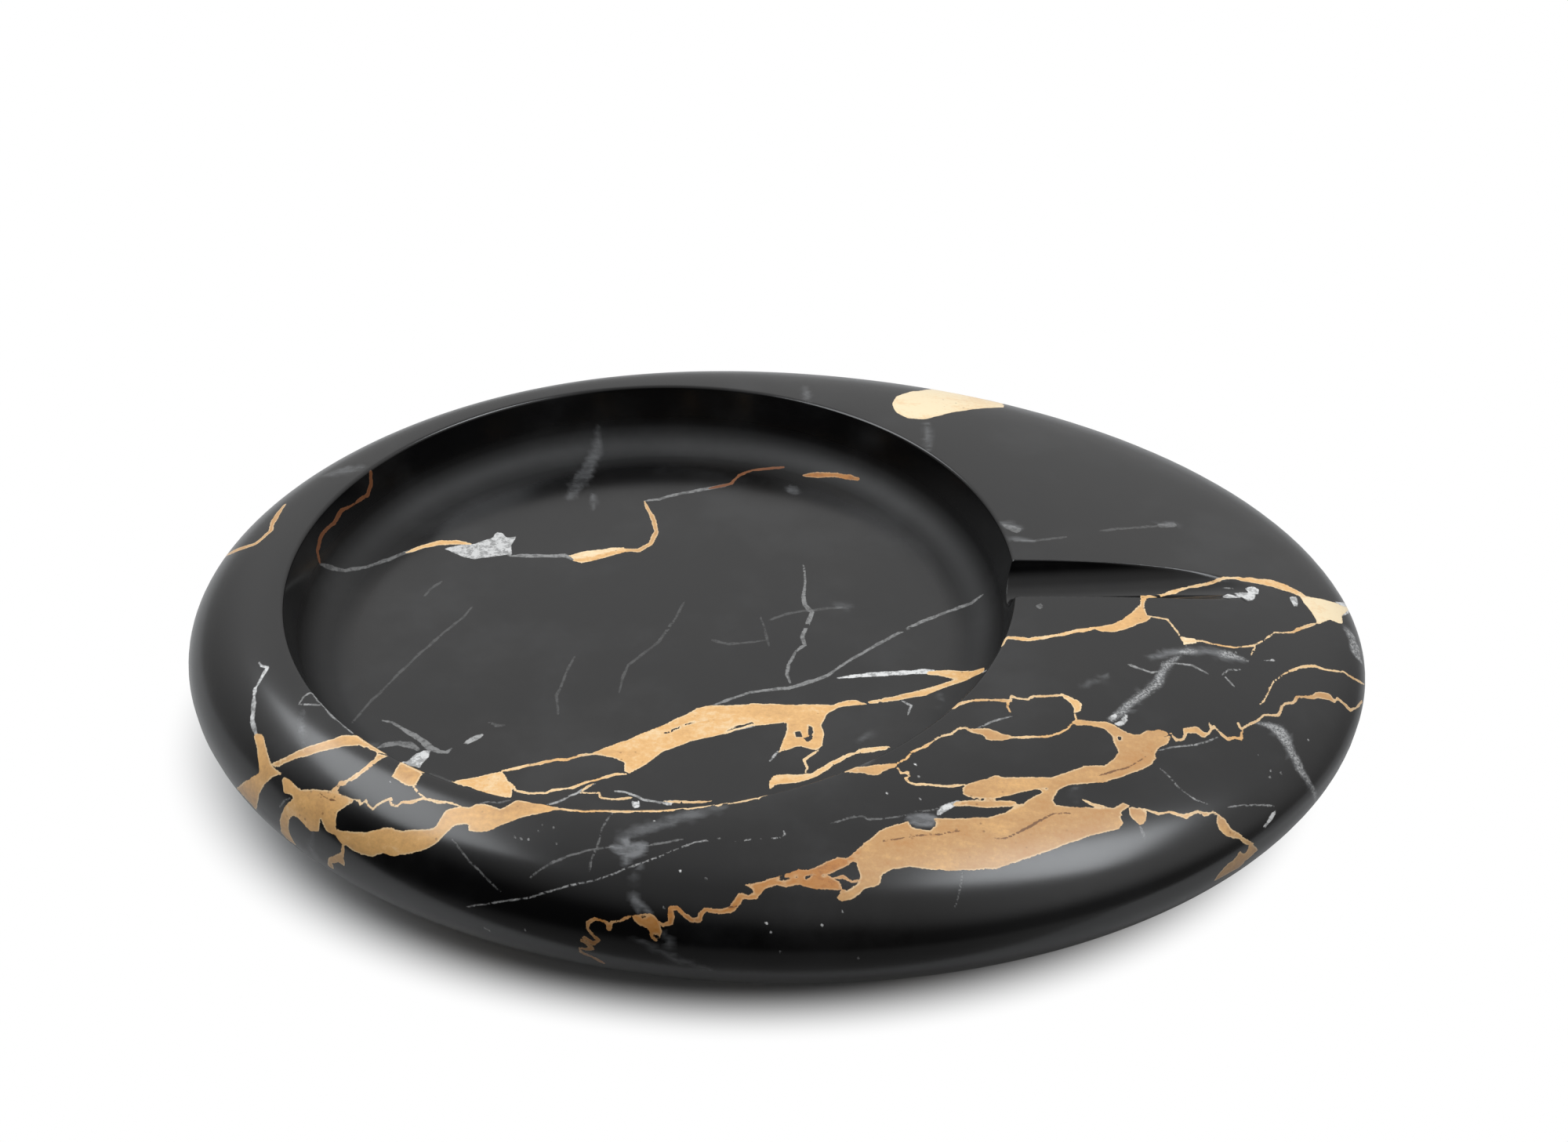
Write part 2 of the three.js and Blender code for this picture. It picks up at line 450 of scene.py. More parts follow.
STALK = route("""324,937 336,937 341,960 345,974 351,980 360,987 355,988 346,992 338,1000 330,1014
    328,1034 318,1023 302,1006 313,997 330,987 331,980 328,960""")
ARC = route("""345,975 376,960 400,950 420,944 438,938 461,938 472,947 488,958 498,963 484,960
    470,956 458,950 440,952 420,956 400,962 374,969 352,979""")
SLANT = route("""482,961 477,968 461,982 441,996 433,997 428,1003 420,1009 429,1012 433,1004
    441,1002 460,989 472,980 482,971 494,965""")
BLOB = route("""360,990 368,995 378,1003 384,1008 400,1007 420,1009 436,1014 452,1019 450,1024
    440,1029 431,1037 427,1056 434,1060 428,1066 416,1060 409,1045 406,1060 396,1061 388,1051
    380,1043 373,1040 369,1046 368,1056 371,1067 377,1078 366,1070 359,1062 357,1047 361,1033
    374,1018 371,1014 362,1013""")
FRONT_RIBBON = route("""428,1058 452,1062 472,1061 488,1056 498,1056 510,1060 530,1059 554,1057
    558,1049 568,1035 578,1031 600,1030 608,1026 618,1026 626,1028 638,1033 650,1026 660,1021
    672,1023 710,1030 700,1036 672,1041 656,1046 640,1053 620,1061 608,1063 597,1059 599,1051
    590,1051 578,1055 560,1072 548,1082 530,1088 500,1092 490,1089 472,1093 456,1088 443,1081
    440,1077 439,1092 440,1106 432,1100 424,1101 427,1110 418,1104 420,1094 433,1089 436,1078
    428,1066""")
SQUARE = route("510,972 520,973 530,978 542,984 536,992 529,1003 520,1003 499,990 506,982")
STITCHES = route("""452,1020 458,1022 460,1027 467,1021 470,1028 476,1033 480,1028 488,1023 498,1018
    499,1027 507,1029 512,1024 526,1023 538,1019 546,1020 560,1023 576,1025 586,1029""")
SQUARE_STEM = route("526,1003 534,1012 543,1019")
RIM_FRONT = route("700,1031 740,1035 800,1035 840,1035 880,1030 900,1027 940,1020 981,1010")

gold = veins(SKIN, [(HONEY, [STALK, ARC, BLOB, FRONT_RIBBON]), (PALE, [SLANT, SQUARE])],
             [(PALE, 1.5, [STITCHES, SQUARE_STEM]), (PALE, 1.2, [RIM_FRONT])])
print("front left:", len(gold), "veins")

# %% Land and front right
LAND_PATCH = route("""1076,982 1092,979 1120,976 1132,974 1146,975 1142,979 1130,982 1122,988
    1112,989 1100,986 1080,986""")
LAND_CURL = route("""1144,978 1150,987 1158,985 1160,990 1155,993 1160,998 1168,1001 1184,1001
    1210,1003 1232,1001""")
LAND_RISE = route("1144,975 1156,968 1162,960 1180,952 1200,939 1212,937 1222,930 1232,928")
LOOP_TOP = route("""1216,899 1226,897 1240,894 1266,893 1288,894 1290,888 1298,891 1311,893 1318,888
    1340,888 1356,887""")
LOOP_STUB = route("1286,895 1285,902 1289,910")
LOOP_END = route("1354,885 1364,888 1374,893 1380,899 1378,907 1369,909 1369,902 1364,895 1356,890")
LOOP_DROP = route("1370,908 1373,919")
MID_PATCH = route("""1226,928 1242,930 1260,929 1280,937 1290,938 1288,943 1276,945 1260,945
    1255,938 1240,935""")
MID_STRAND = route("1286,941 1334,940 1350,936 1362,930 1370,921")
LONG_RIBBON = route("""1366,921 1374,918 1390,920 1412,921 1422,925 1432,932 1446,937 1456,937
    1462,932 1478,931 1488,934 1493,941 1490,949 1478,955 1473,961 1475,968 1466,977 1450,984
    1430,992 1408,998 1380,1000 1360,1003 1350,1008 1343,1020 1350,1030 1300,1032 1308,1022
    1326,1013 1336,1006 1316,1008 1280,1016 1264,1020 1244,1018 1230,1015 1228,1008 1230,1002
    1246,997 1270,989 1284,992 1340,992 1360,986 1384,977 1408,977 1420,969 1427,960 1421,948
    1418,938 1408,929 1390,926 1374,926""")
STRIP = route("1216,1024 1238,1021 1290,1022 1304,1026 1292,1029 1260,1030 1234,1029 1216,1029")
BIG_RIBBON = route("""1100,1078 1110,1070 1122,1060 1140,1053 1158,1048 1164,1057 1186,1060
    1196,1052 1192,1044 1220,1044 1260,1043 1280,1037 1300,1028 1342,1026 1372,1030 1410,1031
    1421,1031 1433,1024 1442,1029 1436,1032 1429,1036 1429,1042 1434,1050 1426,1058 1400,1064
    1370,1074 1340,1085 1300,1099 1276,1107 1250,1110 1210,1111 1176,1108 1160,1106 1138,1109
    1124,1117 1124,1124 1118,1132 1102,1134 1094,1143 1084,1148 1072,1150 1067,1146 1070,1141
    1084,1135 1095,1127 1098,1116 1092,1103 1093,1094""")
RIBBON_LOBE = route("""1439,1028 1450,1031 1461,1036 1463,1042 1460,1050 1454,1053 1447,1048
    1441,1041""")
RIGHT_THREAD = route("""1453,1031 1478,1038,2 1492,1036 1512,1042,2.6 1528,1035 1537,1039,2.4
    1548,1036""")
RIBBON_SPUR = route("1381,1020 1392,1026,1.6 1410,1031,2.5")
RIGHT_HOOK = route("""1544,1033 1556,1040 1563,1045 1570,1057 1584,1066 1582,1070 1566,1067
    1558,1062 1551,1049 1552,1043""")
RIGHT_TWIST = route("1580,1067 1590,1074 1598,1077")
RIGHT_FOOT = route("""1594,1075 1602,1080 1605,1084 1592,1095 1580,1107 1560,1118 1546,1126
    1556,1113 1567,1101 1576,1096 1580,1086 1588,1090 1592,1083""")

TAN_PATCHES = [LAND_PATCH, MID_PATCH, LONG_RIBBON, STRIP, BIG_RIBBON, RIBBON_LOBE, RIGHT_HOOK,
               RIGHT_FOOT]
LAND_STRANDS = [LAND_CURL, LAND_RISE, LOOP_TOP, LOOP_STUB, LOOP_DROP, MID_STRAND]
gold += veins(SKIN, [(TAN, TAN_PATCHES), (BRIGHT, [LOOP_END])],
              [(PALE, 1.4, LAND_STRANDS), (PALE, 1.3, [RIGHT_THREAD, RIBBON_SPUR]),
               (TAN, 2.4, [RIGHT_TWIST])])
print("with the land and front right:", len(gold), "veins")

# %% Far right, the back patch and the long tail at the front
LAND_ARM = route("1278,812 1300,815 1312,816 1340,812 1360,808 1380,804 1400,801")
LAND_WING = route("""1392,801 1420,796 1432,790 1446,780 1453,771 1455,760 1468,760 1460,767
    1460,776 1463,785 1470,786 1462,793 1444,800 1424,806 1404,806""")
WING_TOP = route("""1464,761 1480,759 1500,754 1520,748 1540,745 1562,738 1592,740,3 1622,744,3.5
    1640,750,3.5 1662,760,3""")
WING_LOW = route("""1466,787 1489,790 1500,804 1510,818 1534,818 1548,822 1573,826 1598,824 1612,817
    1626,807 1649,807 1656,803,2 1682,794""")
WING_SPUR = route("1601,825 1596,836")
WING_KNOT = route("1508,812 1524,815 1526,820 1510,823")
TIP_PATCH = route("""1655,757 1666,761 1690,765 1704,769 1722,777 1711,785 1713,797 1697,791
    1681,796 1675,784 1664,770""")
ARCH = route("""1604,902 1612,894 1624,870 1643,857 1660,851,1.8 1678,850,1.8 1691,855 1713,857
    1727,866 1740,873""")
MEANDER = route("""1492,934 1500,945 1510,943 1513,932,3.5 1526,931,4.5 1534,937,4 1541,936 1548,927
    1559,937 1566,943 1576,941 1583,943 1584,930 1593,924 1604,920 1612,912 1631,913 1635,902
    1640,898 1650,896 1654,889 1671,890 1681,887,4 1694,889,4.5 1701,895 1706,892 1716,899 1722,906
    1730,903 1737,895""")
MEANDER_SPURS = routes("1542,922 1545,931; 1579,923 1583,931")
BACK_PATCH = route("""1138,516 1143,506 1160,500 1195,496 1225,500 1255,506 1280,513 1280,520
    1240,522 1205,528 1180,535 1158,534 1143,526""")
LEFT_BACK_FORK = route("363,644 355,655 349,664 345,677 337,685 325,694 304,701 288,708")
TAIL_ROOT = route("""1100,1078 1086,1091 1078,1096 1070,1093 1058,1097 1044,1105 1030,1110 1018,1109
    1004,1114 984,1120 966,1126 950,1128 951,1133 960,1133 961,1143 968,1144 975,1135 990,1129
    1002,1132 1016,1128 1030,1132 1050,1135 1066,1135 1077,1140 1070,1125 1060,1119 1047,1118
    1066,1112 1082,1104 1094,1095""")
TAIL_LINK = route("1066,1120 1076,1119 1086,1125 1098,1123")
TAIL_ZIGZAG = route("""966,1136,4.5 964,1143,3 955,1145 945,1143,3 941,1151,3 932,1160,3.2 920,1164
    910,1162 900,1160 894,1166,3 892,1174,3 882,1174 872,1166,2 864,1158 855,1159,3 856,1170,3
    855,1178,2.8 846,1180,2 838,1176""")
TAIL_KNOT = route("""816,1166 830,1166 838,1171 842,1180 844,1190 840,1200 836,1202 831,1198
    828,1188 822,1182 815,1180 810,1175 805,1168""")
TAIL_CURL = route("""804,1169 790,1175 780,1177 777,1186 774,1177 767,1174 759,1172 750,1177
    749,1185 755,1192 764,1200 757,1204 746,1196 742,1200 752,1206 757,1210 747,1211,1.3
    739,1209,1.2 741,1214,1.2 751,1219,1.2 761,1224,1.3 770,1229,1""")

# The tail's root takes the darker umber tone: partly its own brown, partly painted shade of the lower
# front slope.
gold += veins(SKIN, [(AMBER, [LAND_WING]), (CREAM, [TIP_PATCH, BACK_PATCH, WING_KNOT]),
                     (UMBER_AND_SHADE, [TAIL_ROOT]), (SIENNA, [TAIL_KNOT])],
              [(BRIGHT, 2, [LAND_ARM, WING_TOP]), (TAN, 1.5, [LEFT_BACK_FORK, MEANDER] + MEANDER_SPURS),
               (PALE, 0.9, [WING_LOW, WING_SPUR, ARCH]), (OCHRE, 2.4, [TAIL_ZIGZAG]),
               (OCHRE, 1.7, [TAIL_LINK, TAIL_CURL])])
print("all gold on the skin:", len(gold), "veins")

# %% [markdown]
# ## Gold veins in the well
#
# These cross the polished floor and climb the fillet at the back. They belong to the well, so their
# points may only land inside the rim. The gold has gaps where black stone shows, and dark cracks.

# %% Well
TRIANGLE = route("576,997 600,993 640,984 648,996 654,1007 652,1018 640,1017 600,1006")
UPPER_THREAD = route("640,984 660,980 668,977 688,974 710,969 724,969 740,964 756,962")
FLOOR_RIBBON = route("""750,962 780,951 800,944 836,929 872,913 888,904 900,901 950,899 960,897
    1000,899 1060,899 1080,894 1092,893 1100,897 1130,890 1160,884 1200,873 1218,867 1196,862
    1182,860 1184,856 1210,855 1240,856 1257,851 1254,857 1230,869 1200,879 1180,887 1150,893
    1100,899 1070,902 1056,910 1048,924 1051,938 1048,953 1040,957 1020,952 1008,955 993,960 998,946
    1004,932 1004,922 980,924 960,927 928,935 880,946 848,958 830,971 806,985 797,985 797,974
    786,968 766,964""")
LOWER_BRANCH = route("""800,987 784,988 760,996 748,998 730,1005 704,1008 696,1012 672,1012 658,1009
    650,998""")
SMALL_BRANCHES = routes("""760,998 744,1008 741,1012; 744,1012 764,1012 766,1018 790,1020 806,1018;
    846,1022 880,1024 908,1022""")
RIM_SHELF = route("""981,1008 981,998 988,989 1034,987 1052,976 1076,964 1100,955 1120,953 1140,951
    1130,957 1090,962 1064,976 1046,989 1020,998 992,1001""")
DRIP = route("1044,957 1030,966 1025,970 1030,980 1027,985")
WALL_HOOK = route("""467,596 473,602 473,618 469,631 452,643,1.6 435,652,2.2 427,666,2.2 416,675
    408,687,1.8 405,702,1.6 408,718,2""")
HOOK_FOOT = route("408,720,2 418,723,2.8 441,728,2.2 468,723,2 495,714,2 514,706,2 538,698,2.2")
HOOK_GOLD = route("518,705,1.6 540,697,2 560,693,2.4 580,692,2.4 600,694,1.6")
HOOK_PATCH = route("""566,700 585,696 606,694 616,690 628,687 633,679 640,680 647,687 660,683
    652,696 653,706 636,709 605,714 590,710""")
STRAND_START = route("652,709,2.2 680,709,2 720,709,2 733,715")
FLOOR_STRAND = route("""733,715 760,712 796,702 815,702 830,694 837,678,2.8 834,664 825,647,1.8
    822,639,1.6""")
STRAND_GREY = route("822,639 841,637 860,631 905,623 933,617")
STRAND_BROWN = route("905,623 933,617 943,606 960,600 977,598 1002,596")
STRAND_SWELL = route("726,709 748,703 780,699 796,698 798,703 768,713 742,718 735,716")
BACK_DASH = route("1025,606,2.5 1048,606,3 1065,606,2.6 1095,611,3")

gold += veins(WELL, [(BRIGHT, [TRIANGLE, FLOOR_RIBBON, RIM_SHELF]), (IVORY, [STRAND_SWELL])],
              [(BRIGHT, 1.5, [UPPER_THREAD, LOWER_BRANCH, DRIP, HOOK_GOLD]), (PALE, 1.2, SMALL_BRANCHES),
               (RED_BROWN, 2.1, [WALL_HOOK]), (TAN, 2.3, [FLOOR_STRAND]), (BURNT, 3, [BACK_DASH]),
               (RED_BROWN, 1.4, [STRAND_BROWN])])

# %% Gaps and cracks in the gold
GOLD_HOLES = routes("""1014,934 1020,933 1024,940 1016,942; 1031,925 1037,927 1036,943 1031,947
    1024,943 1031,939; 844,936 864,927 902,915 902,918 872,926 850,937; 926,932 940,926 962,921
    962,924 942,929""")
RIBBON_HOLES = routes("1424,940 1430,939 1431,944 1426,945; 1482,939 1488,940 1485,944")
TAIL_HOLES = routes("""834,1191 838,1192 838,1197 834,1197; 818,1168 824,1169 822,1173 818,1172;
    990,1123 1000,1119 1010,1120 1002,1124; 1026,1119 1036,1115 1034,1120 1028,1122; 1012,1119
    1018,1117 1017,1121""")
CRACKS = routes("""1265,1070 1280,1070 1292,1066 1304,1060,1.4 1318,1052,1.5 1330,1045,1.4 1342,1039
    1355,1037 1366,1038; 1122,1074 1137,1072 1152,1069 1168,1066 1191,1065 1228,1060; 920,1156
    935,1157 945,1154; 408,1012 420,1020 430,1022; 1400,990 1440,979 1462,965""")

holes = veins(WELL, [(0, GOLD_HOLES)]) + veins(SKIN, [(0, RIBBON_HOLES + TAIL_HOLES)])
cracks = veins(SKIN, lines=[(0, 0.9, CRACKS)])
print("all gold:", len(gold), "veins,", len(holes), "gaps and", len(cracks), "cracks in them")

# %% [markdown]
# ## White and grey veins
#
# Clear calcite filled the finer cracks. Some of it shows as sharp white threads, and some lies just
# under the polish and reads as soft smoke. Threads are lines with a strength in place of a tone, and
# smoke is a wide line whose edge fades out.

# %% White threads on the skin
LEFT_STEM = route("330,845 334,850 341,851 335,863 326,877")
STEM_BEADS = routes("325,878 324,889; 321,913 322,921")
STEM_LOW = route("324,888 323,910 322,920 327,938")
FRONT_HAIR = route("""596,1157 622,1153 646,1149 672,1146 698,1138 726,1130 755,1124 780,1116
    802,1107 830,1097 845,1092 855,1086 870,1081 885,1075 900,1072 908,1072""")
HAIR_DASHES = routes("""914,1070 918,1070; 933,1074 938,1074; 950,1072 958,1071; 968,1070 973,1070;
    982,1070 995,1069 1001,1065 999,1060""")
FRONT_THREADS = routes("""576,1070 589,1086 599,1099 612,1112 625,1125 638,1137; 782,1035 774,1046
    768,1057 765,1070 760,1084 754,1098 751,1114; 674,1122 685,1112 698,1104 709,1099,1.6 724,1092
    742,1087 760,1083 782,1080; 822,1079 840,1076,1.6 855,1074,1.5 871,1070; 1228,1111 1225,1132,1.3
    1222,1145 1217,1160; 1060,1051 1075,1046 1092,1042 1101,1041 1108,1046 1132,1044 1156,1040;
    1167,1035 1187,1034 1200,1029; 1454,1055,2.4 1458,1064,1.6 1460,1071,1; 652,1021 636,1024
    620,1023 602,1030; 371,1018 362,1022 356,1031""")
LAND_THREADS = routes("""1477,958 1492,954 1506,952 1526,950 1545,944 1554,940; 1479,980 1492,991
    1502,1004 1514,1013 1526,1021 1540,1025; 1566,1030 1587,1027 1606,1027 1626,1028; 1246,929
    1262,922 1290,914; 1486,847 1500,846 1520,849 1541,860; 1559,861 1567,855 1583,854; 1563,864
    1575,877; 1560,750 1573,751; 1440,848,2 1453,853 1468,858 1481,856; 381,898 387,889 400,882
    405,891 411,900; 381,898 396,899 411,900 428,917 450,935; 1613,843 1625,842""")
FAINT_THREADS = routes("1403,677 1450,673 1480,671; 1294,690 1318,690 1360,685")
LAND_SMEARS = routes("""1277,668 1290,670 1303,674 1301,681 1292,679 1282,674; 1476,669 1490,667
    1502,668 1500,672 1480,673; 1321,773 1327,770 1331,774 1325,778""")
WHITE_FLECKS = routes("""1559,758 1570,757 1600,756 1600,764 1592,767 1585,762 1568,763 1560,763;
    1645,761 1653,762 1656,773 1651,775 1647,768; 1611,1055 1617,1048 1622,1037 1629,1033 1624,1044
    1614,1056; 1588,751 1598,748 1606,752 1604,758 1594,757; 1700,767 1716,769 1724,780 1712,786
    1710,776; 1195,1036 1202,1028 1212,1024 1224,1021 1226,1025 1215,1030 1205,1036 1196,1042""")
FOOT_CRYSTALS = routes("""1430,921 1433,914 1438,908 1439,922; 1416,914 1423,910 1426,915 1419,919;
    1421,923 1430,919 1436,924 1428,927""")
BRIGHT_SPECKS = route("977,1177 983,1189 1048,1180 867,1111 1623,842 1131,1012 1167,975 834,1047")
# Among these dim specks, the one at 1297,715, on the far corner of the groove's mouth, is a painted
# highlight.
DIM_SPECKS_AND_GLINT = route("""995,1214 1094,1221 846,1157 900,1120 1074,1162 705,1055 692,1052 687,1060
    656,1067 664,1069 673,1070 709,1075 638,1085 669,1185 618,1183 624,1186 1576,832 1171,990
    1173,1018 497,997 418,722 1442,847 1512,822 1297,715 1620,982 1633,985 1619,990 1605,963
    1668,943""")


def specks(places, length):
    """Very short lines, one for each place."""
    return [[(x, y), (x + 1, y + length)] for x, y in places]


pale = veins(SKIN, [(0.14, LAND_SMEARS), (0.85, WHITE_FLECKS), (0.75, FOOT_CRYSTALS)],
             [(0.8, 1.4, [LEFT_STEM]), (1.0, 3, STEM_BEADS), (0.55, 2.6, [STEM_LOW]),
              (0.5, 0.75, [FRONT_HAIR] + HAIR_DASHES), (0.17, 0.9, FRONT_THREADS),
              (0.07, 1.2, FAINT_THREADS), (0.38, 0.9, LAND_THREADS),
              (1.0, 1.9, specks(BRIGHT_SPECKS, 1)), (0.45, 1.4, specks(DIM_SPECKS_AND_GLINT, 2))])

# %% White threads in the well
WELL_HAIRS = routes("""1025,720,0.8 1027,741 1025,762,2.4 1027,772,2.6 1036,781,2.4 1029,798,2
    1023,812,2.4 1027,823,2 1015,831 1006,848,2.4 1004,861,2 1008,871; 1254,758 1238,770 1208,781
    1175,793 1141,810 1107,829 1078,846 1057,861 1036,869,2 1006,878,2 977,880 956,884 930,892
    909,901""")
FAINT_HAIRS = routes("""602,775 591,787 568,806 541,829 514,854 494,874 472,896 449,922; 909,817,2
    930,822 977,817; 970,787 976,805 981,825,2; 981,791 1006,783 1027,779 1074,775; 564,741 548,752
    541,760; 733,837 723,856 718,871 710,887,1.8 712,911; 873,768 860,791 841,818 802,848
    794,864,1.8 789,887; 548,987 577,998; 624,922 635,926,1.8 644,925""")
ARM_WHITE = route("1069,865,1 1107,861,2.2 1149,858,2.8 1190,856,3")
FLOOR_WHITES = routes("""993,958 982,971; 930,933 950,929 964,926; 697,1027 715,1022 727,1016
    738,1011 743,1007; 784,1009 797,1011 812,1016 820,1021 835,1022 850,1025,2; 1150,894 1162,900
    1158,912; 615,1027 630,1020 651,1017; 1254,857 1268,857; 740,1012 752,1003 760,1000""")
WISP = route("""487,919,0.8 500,922,1.2 515,931,2 528,938,2.6 540,946,3.4 550,955,3.6 560,959,2.4
    570,960,2 576,955,1""")
WISP_FOOT = route("509,973 520,971 530,963 541,958 549,957 546,966 538,975 536,980 525,977")
WISP_STRAND = route("482,953,1.5 492,950,2.5 508,948,3 522,950,4 533,956,3.5")
WISP_BLOCKS = routes("806,1022 815,1022 816,1030 808,1031; 847,1021 860,1021 858,1027 850,1027")
WISP_BEAD = routes("590,948 600,942 612,936 618,935 615,941 604,946 597,949")

pale += veins(WELL, [(0.85, WISP_BLOCKS), (0.45, WISP_BEAD), (0.8, [WISP_FOOT]), (0.75, [HOOK_PATCH])],
              [(0.27, 1.5, WELL_HAIRS), (0.07, 1.3, FAINT_HAIRS), (0.9, 2, [ARM_WHITE]),
               (0.5, 1.2, FLOOR_WHITES), (0.24, 2, [WISP]), (0.2, 3, [WISP_STRAND]),
               (0.2, 2, [HOOK_FOOT]), (0.3, 2, [STRAND_START]), (0.26, 1.6, [STRAND_GREY])])
pale += veins(SKIN, [(0.8, [WISP_FOOT])])
print("white threads and flecks:", len(pale))

# %% Smoke under the polish
LADDER = route("""1503,838,2 1488,848,4 1480,862,4 1478,870,5 1466,880,4 1450,891,4 1436,902,5
    1428,911,5 1417,918,4""")
VEIL = route("1458,842,1.5 1484,834,3 1512,830,4 1542,830,4 1565,837,4.5 1588,843,3")
RIGHT_RIBBON = route("""1602,922,1.5 1618,925,3.5 1632,933,6 1640,944,6 1645,955,5 1652,968,4.5
    1659,982,3.5 1668,997,2.5 1676,1010,1.5 1678,1022,1""")
TIP_SMOKE = route("1714,800,2 1722,809,3 1727,821,3.5 1730,833,3 1736,845,2")
FRONT_BAND = route("788,1068,4 810,1062,6 836,1053,7 860,1045,6 890,1037,5 926,1029,3")
FRONT_SMOKE = routes("""818,1104,2 811,1115,2.2 805,1125,2 802,1134,2; 802,1137,2 808,1146,3
    817,1154,3 829,1165,2.5; 805,1143,1.5 812,1156,2.5 816,1165,2; 810,1197,1.5 822,1202,2.2
    832,1210,2 845,1216,2 862,1225,3.5 880,1230,2.5 905,1237,2; 847,1190,1.5 855,1205,2
    862,1220,2.5""")
CRYSTAL_SMOKE = routes("""780,1080,2 790,1084,6 803,1087,9 816,1082,6 824,1077,2; 798,1070,3
    802,1090,5 796,1104,2; 1158,1044,2 1172,1046,8 1188,1047,7 1197,1044,2""")
SKIN_SMOKE = routes("""412,607,2 440,600,4 464,595,3; 1380,877,1.5 1397,868,2 1419,860,2;
    1374,1001,1.5 1371,1010,2.5 1371,1018,2 1372,1025,1; 388,906,2 383,924,3 387,950,2; 1183,540,4
    1184,560,4.5 1185,576,3; 1027,490,3 1029,504,3.5 1030,514,3; 400,1062,2 396,1080,3 404,1096,2;
    1276,667,2 1288,670,3.5 1302,675,2.5; 1284,686,2 1318,690,2; 1082,972,2 1096,970,3 1110,967,2;
    1480,669,2 1500,668,3""")
# The first streak lays a soft grey band down the back fillet of the well.
WELL_GREY_STREAKS = routes("""763,545,4 762,575,5 745,606,7 726,636,6; 472,952,2 480,950,3; 1008,622,6
    1014,628,7; 1200,884,2 1198,904,3; 1066,770,3 1080,776,4; 756,626,3 757,650,3; 1096,946,2
    1114,934,3""")
VEIL_GRAINS = routes("""1553,833,2 1566,835,4 1580,839,3 1591,843,2; 1502,833,2 1513,831,3.5
    1526,830,2""")

grains = veins(SKIN, lines=[(1, 3, [LADDER, RIGHT_RIBBON, TIP_SMOKE] + VEIL_GRAINS)])
smoke = veins(SKIN, lines=[(1.6, 3, CRYSTAL_SMOKE),
                           (0.9, 3, [LADDER, VEIL, RIGHT_RIBBON, TIP_SMOKE] + FRONT_SMOKE),
                           (0.6, 4, [FRONT_BAND] + SKIN_SMOKE)])
smoke += veins(WELL, lines=[(0.5, 4, WELL_GREY_STREAKS)])
print("streaks of smoke:", len(smoke), "and of grain in it:", len(grains))

# %% [markdown]
# ## Cutting the mesh where the veins run
#
# A vein is stored as one number on each vertex: how far that vertex is from the vein's edge. Numbers
# between vertices are blended by the renderer, so the mesh has to be fine near an edge and may stay
# coarse elsewhere. Long edges near a vein or the groove's lips are cut in half, a few times over, in
# the flat state.

# %% How fine the mesh has to be
AT_LIPS, AT_LINES, AT_PATCHES, AT_SMOKE, COARSEST = 0.17, 0.29, 0.52, 0.9, 4.0
LENGTH_RISE = 0.8
WELL_SLACK = 0.3
VIEW_FROM = np.array(camera_place)


def surface(station, angle):
    """Points, picture positions, which show to the camera, and which are in the well."""
    points = stone_point(station, angle)
    towards = VIEW_FROM - points
    shown = (stone_normal(station, angle) * towards).sum(1) > 0
    return points, to_pixels(points), shown, station < WALL_END + WELL_SLACK


def wanted_length(station, angle):
    """How long a mesh edge may be: shortest at the groove's lips and on lines, longer away from both."""
    places = surface(station, angle)
    radius, height = stone_section(station, angle)
    lip = np.abs(height - groove_height(radius, angle)) / math.tan(GROOVE_STEEPEST)
    on_top = (station > FILLET_END) & (station < DOME_END)
    wanted = np.where(on_top, AT_LIPS + LENGTH_RISE * lip, COARSEST)
    for vein in gold + holes + cracks + pale + grains + smoke:
        gap = vein.distance(*places)
        least = AT_PATCHES if vein.closed or vein in grains else AT_LINES
        least = AT_SMOKE if vein in smoke else least
        gap = np.abs(gap) if vein.closed else np.maximum(gap, 0)
        wanted = np.minimum(wanted, least + LENGTH_RISE * gap)
    return np.minimum(wanted, COARSEST)


# %% Cut long edges near the veins
ROUNDS = 6
SPARE = 1.5

station, angle = flat_places(skin)
wanted = wanted_length(station, angle)
for cut in range(ROUNDS):
    points = stone_point(station, angle)
    skin.verts.index_update()
    ends = np.array([[vertex.index for vertex in edge.verts] for edge in skin.edges])
    lengths = np.linalg.norm(points[ends[:, 0]] - points[ends[:, 1]], axis=1)
    long_edges = lengths > SPARE * wanted[ends].min(1)
    edges = skin.edges[:]
    before = len(skin.verts)
    chosen = [edges[i] for i in np.flatnonzero(long_edges)]
    bmesh.ops.subdivide_edges(skin, edges=chosen, cuts=1, use_grid_fill=True, use_single_edge=True)
    bmesh.ops.triangulate(skin, faces=[face for face in skin.faces if len(face.verts) > 3])
    in_order(skin)
    station, angle = flat_places(skin)
    wanted = np.concatenate([wanted, wanted_length(station[before:], angle[before:])])
    print("cut", cut + 1, "gives", len(skin.verts), "vertices,", len(skin.faces), "triangles")

# %% [markdown]
# ## Rolling up the stone
#
# Now the flat disc becomes the stone. The rims of the disc close at the base's centre, so the doubles
# there are merged. The exact normals of the formula go onto the mesh, which keeps the polish free of
# facets at every mesh density.

# %% Numbers for the shader
BLEND = 0.15
SMOKE_FADE = 0.6
LIP_MARGIN = 6
GROOVE_POLISH, WALL_POLISH, FILLET_POLISH, FLOOR_POLISH = 1.3, 1.3, -0.4, 1.15
GROOVE_FADE = 0.3
FACING_FADE = 0.1
POLISH_BENDS = {0: FLOOR_POLISH, FLOOR_END - 4: FLOOR_POLISH, FLOOR_END + 1: FILLET_POLISH,
                FILLET_END - 1: FILLET_POLISH, FILLET_END + 2: WALL_POLISH, WALL_END: WALL_POLISH,
                EASE_END: 1}


def nearest_tone(distances, tones):
    """Tone of the near veins, weighted towards the nearest."""
    weights = 1 / (np.maximum(distances, 0) + BLEND) ** 3
    return (weights * np.array(tones)[:, None]).sum(0) / weights.sum(0)


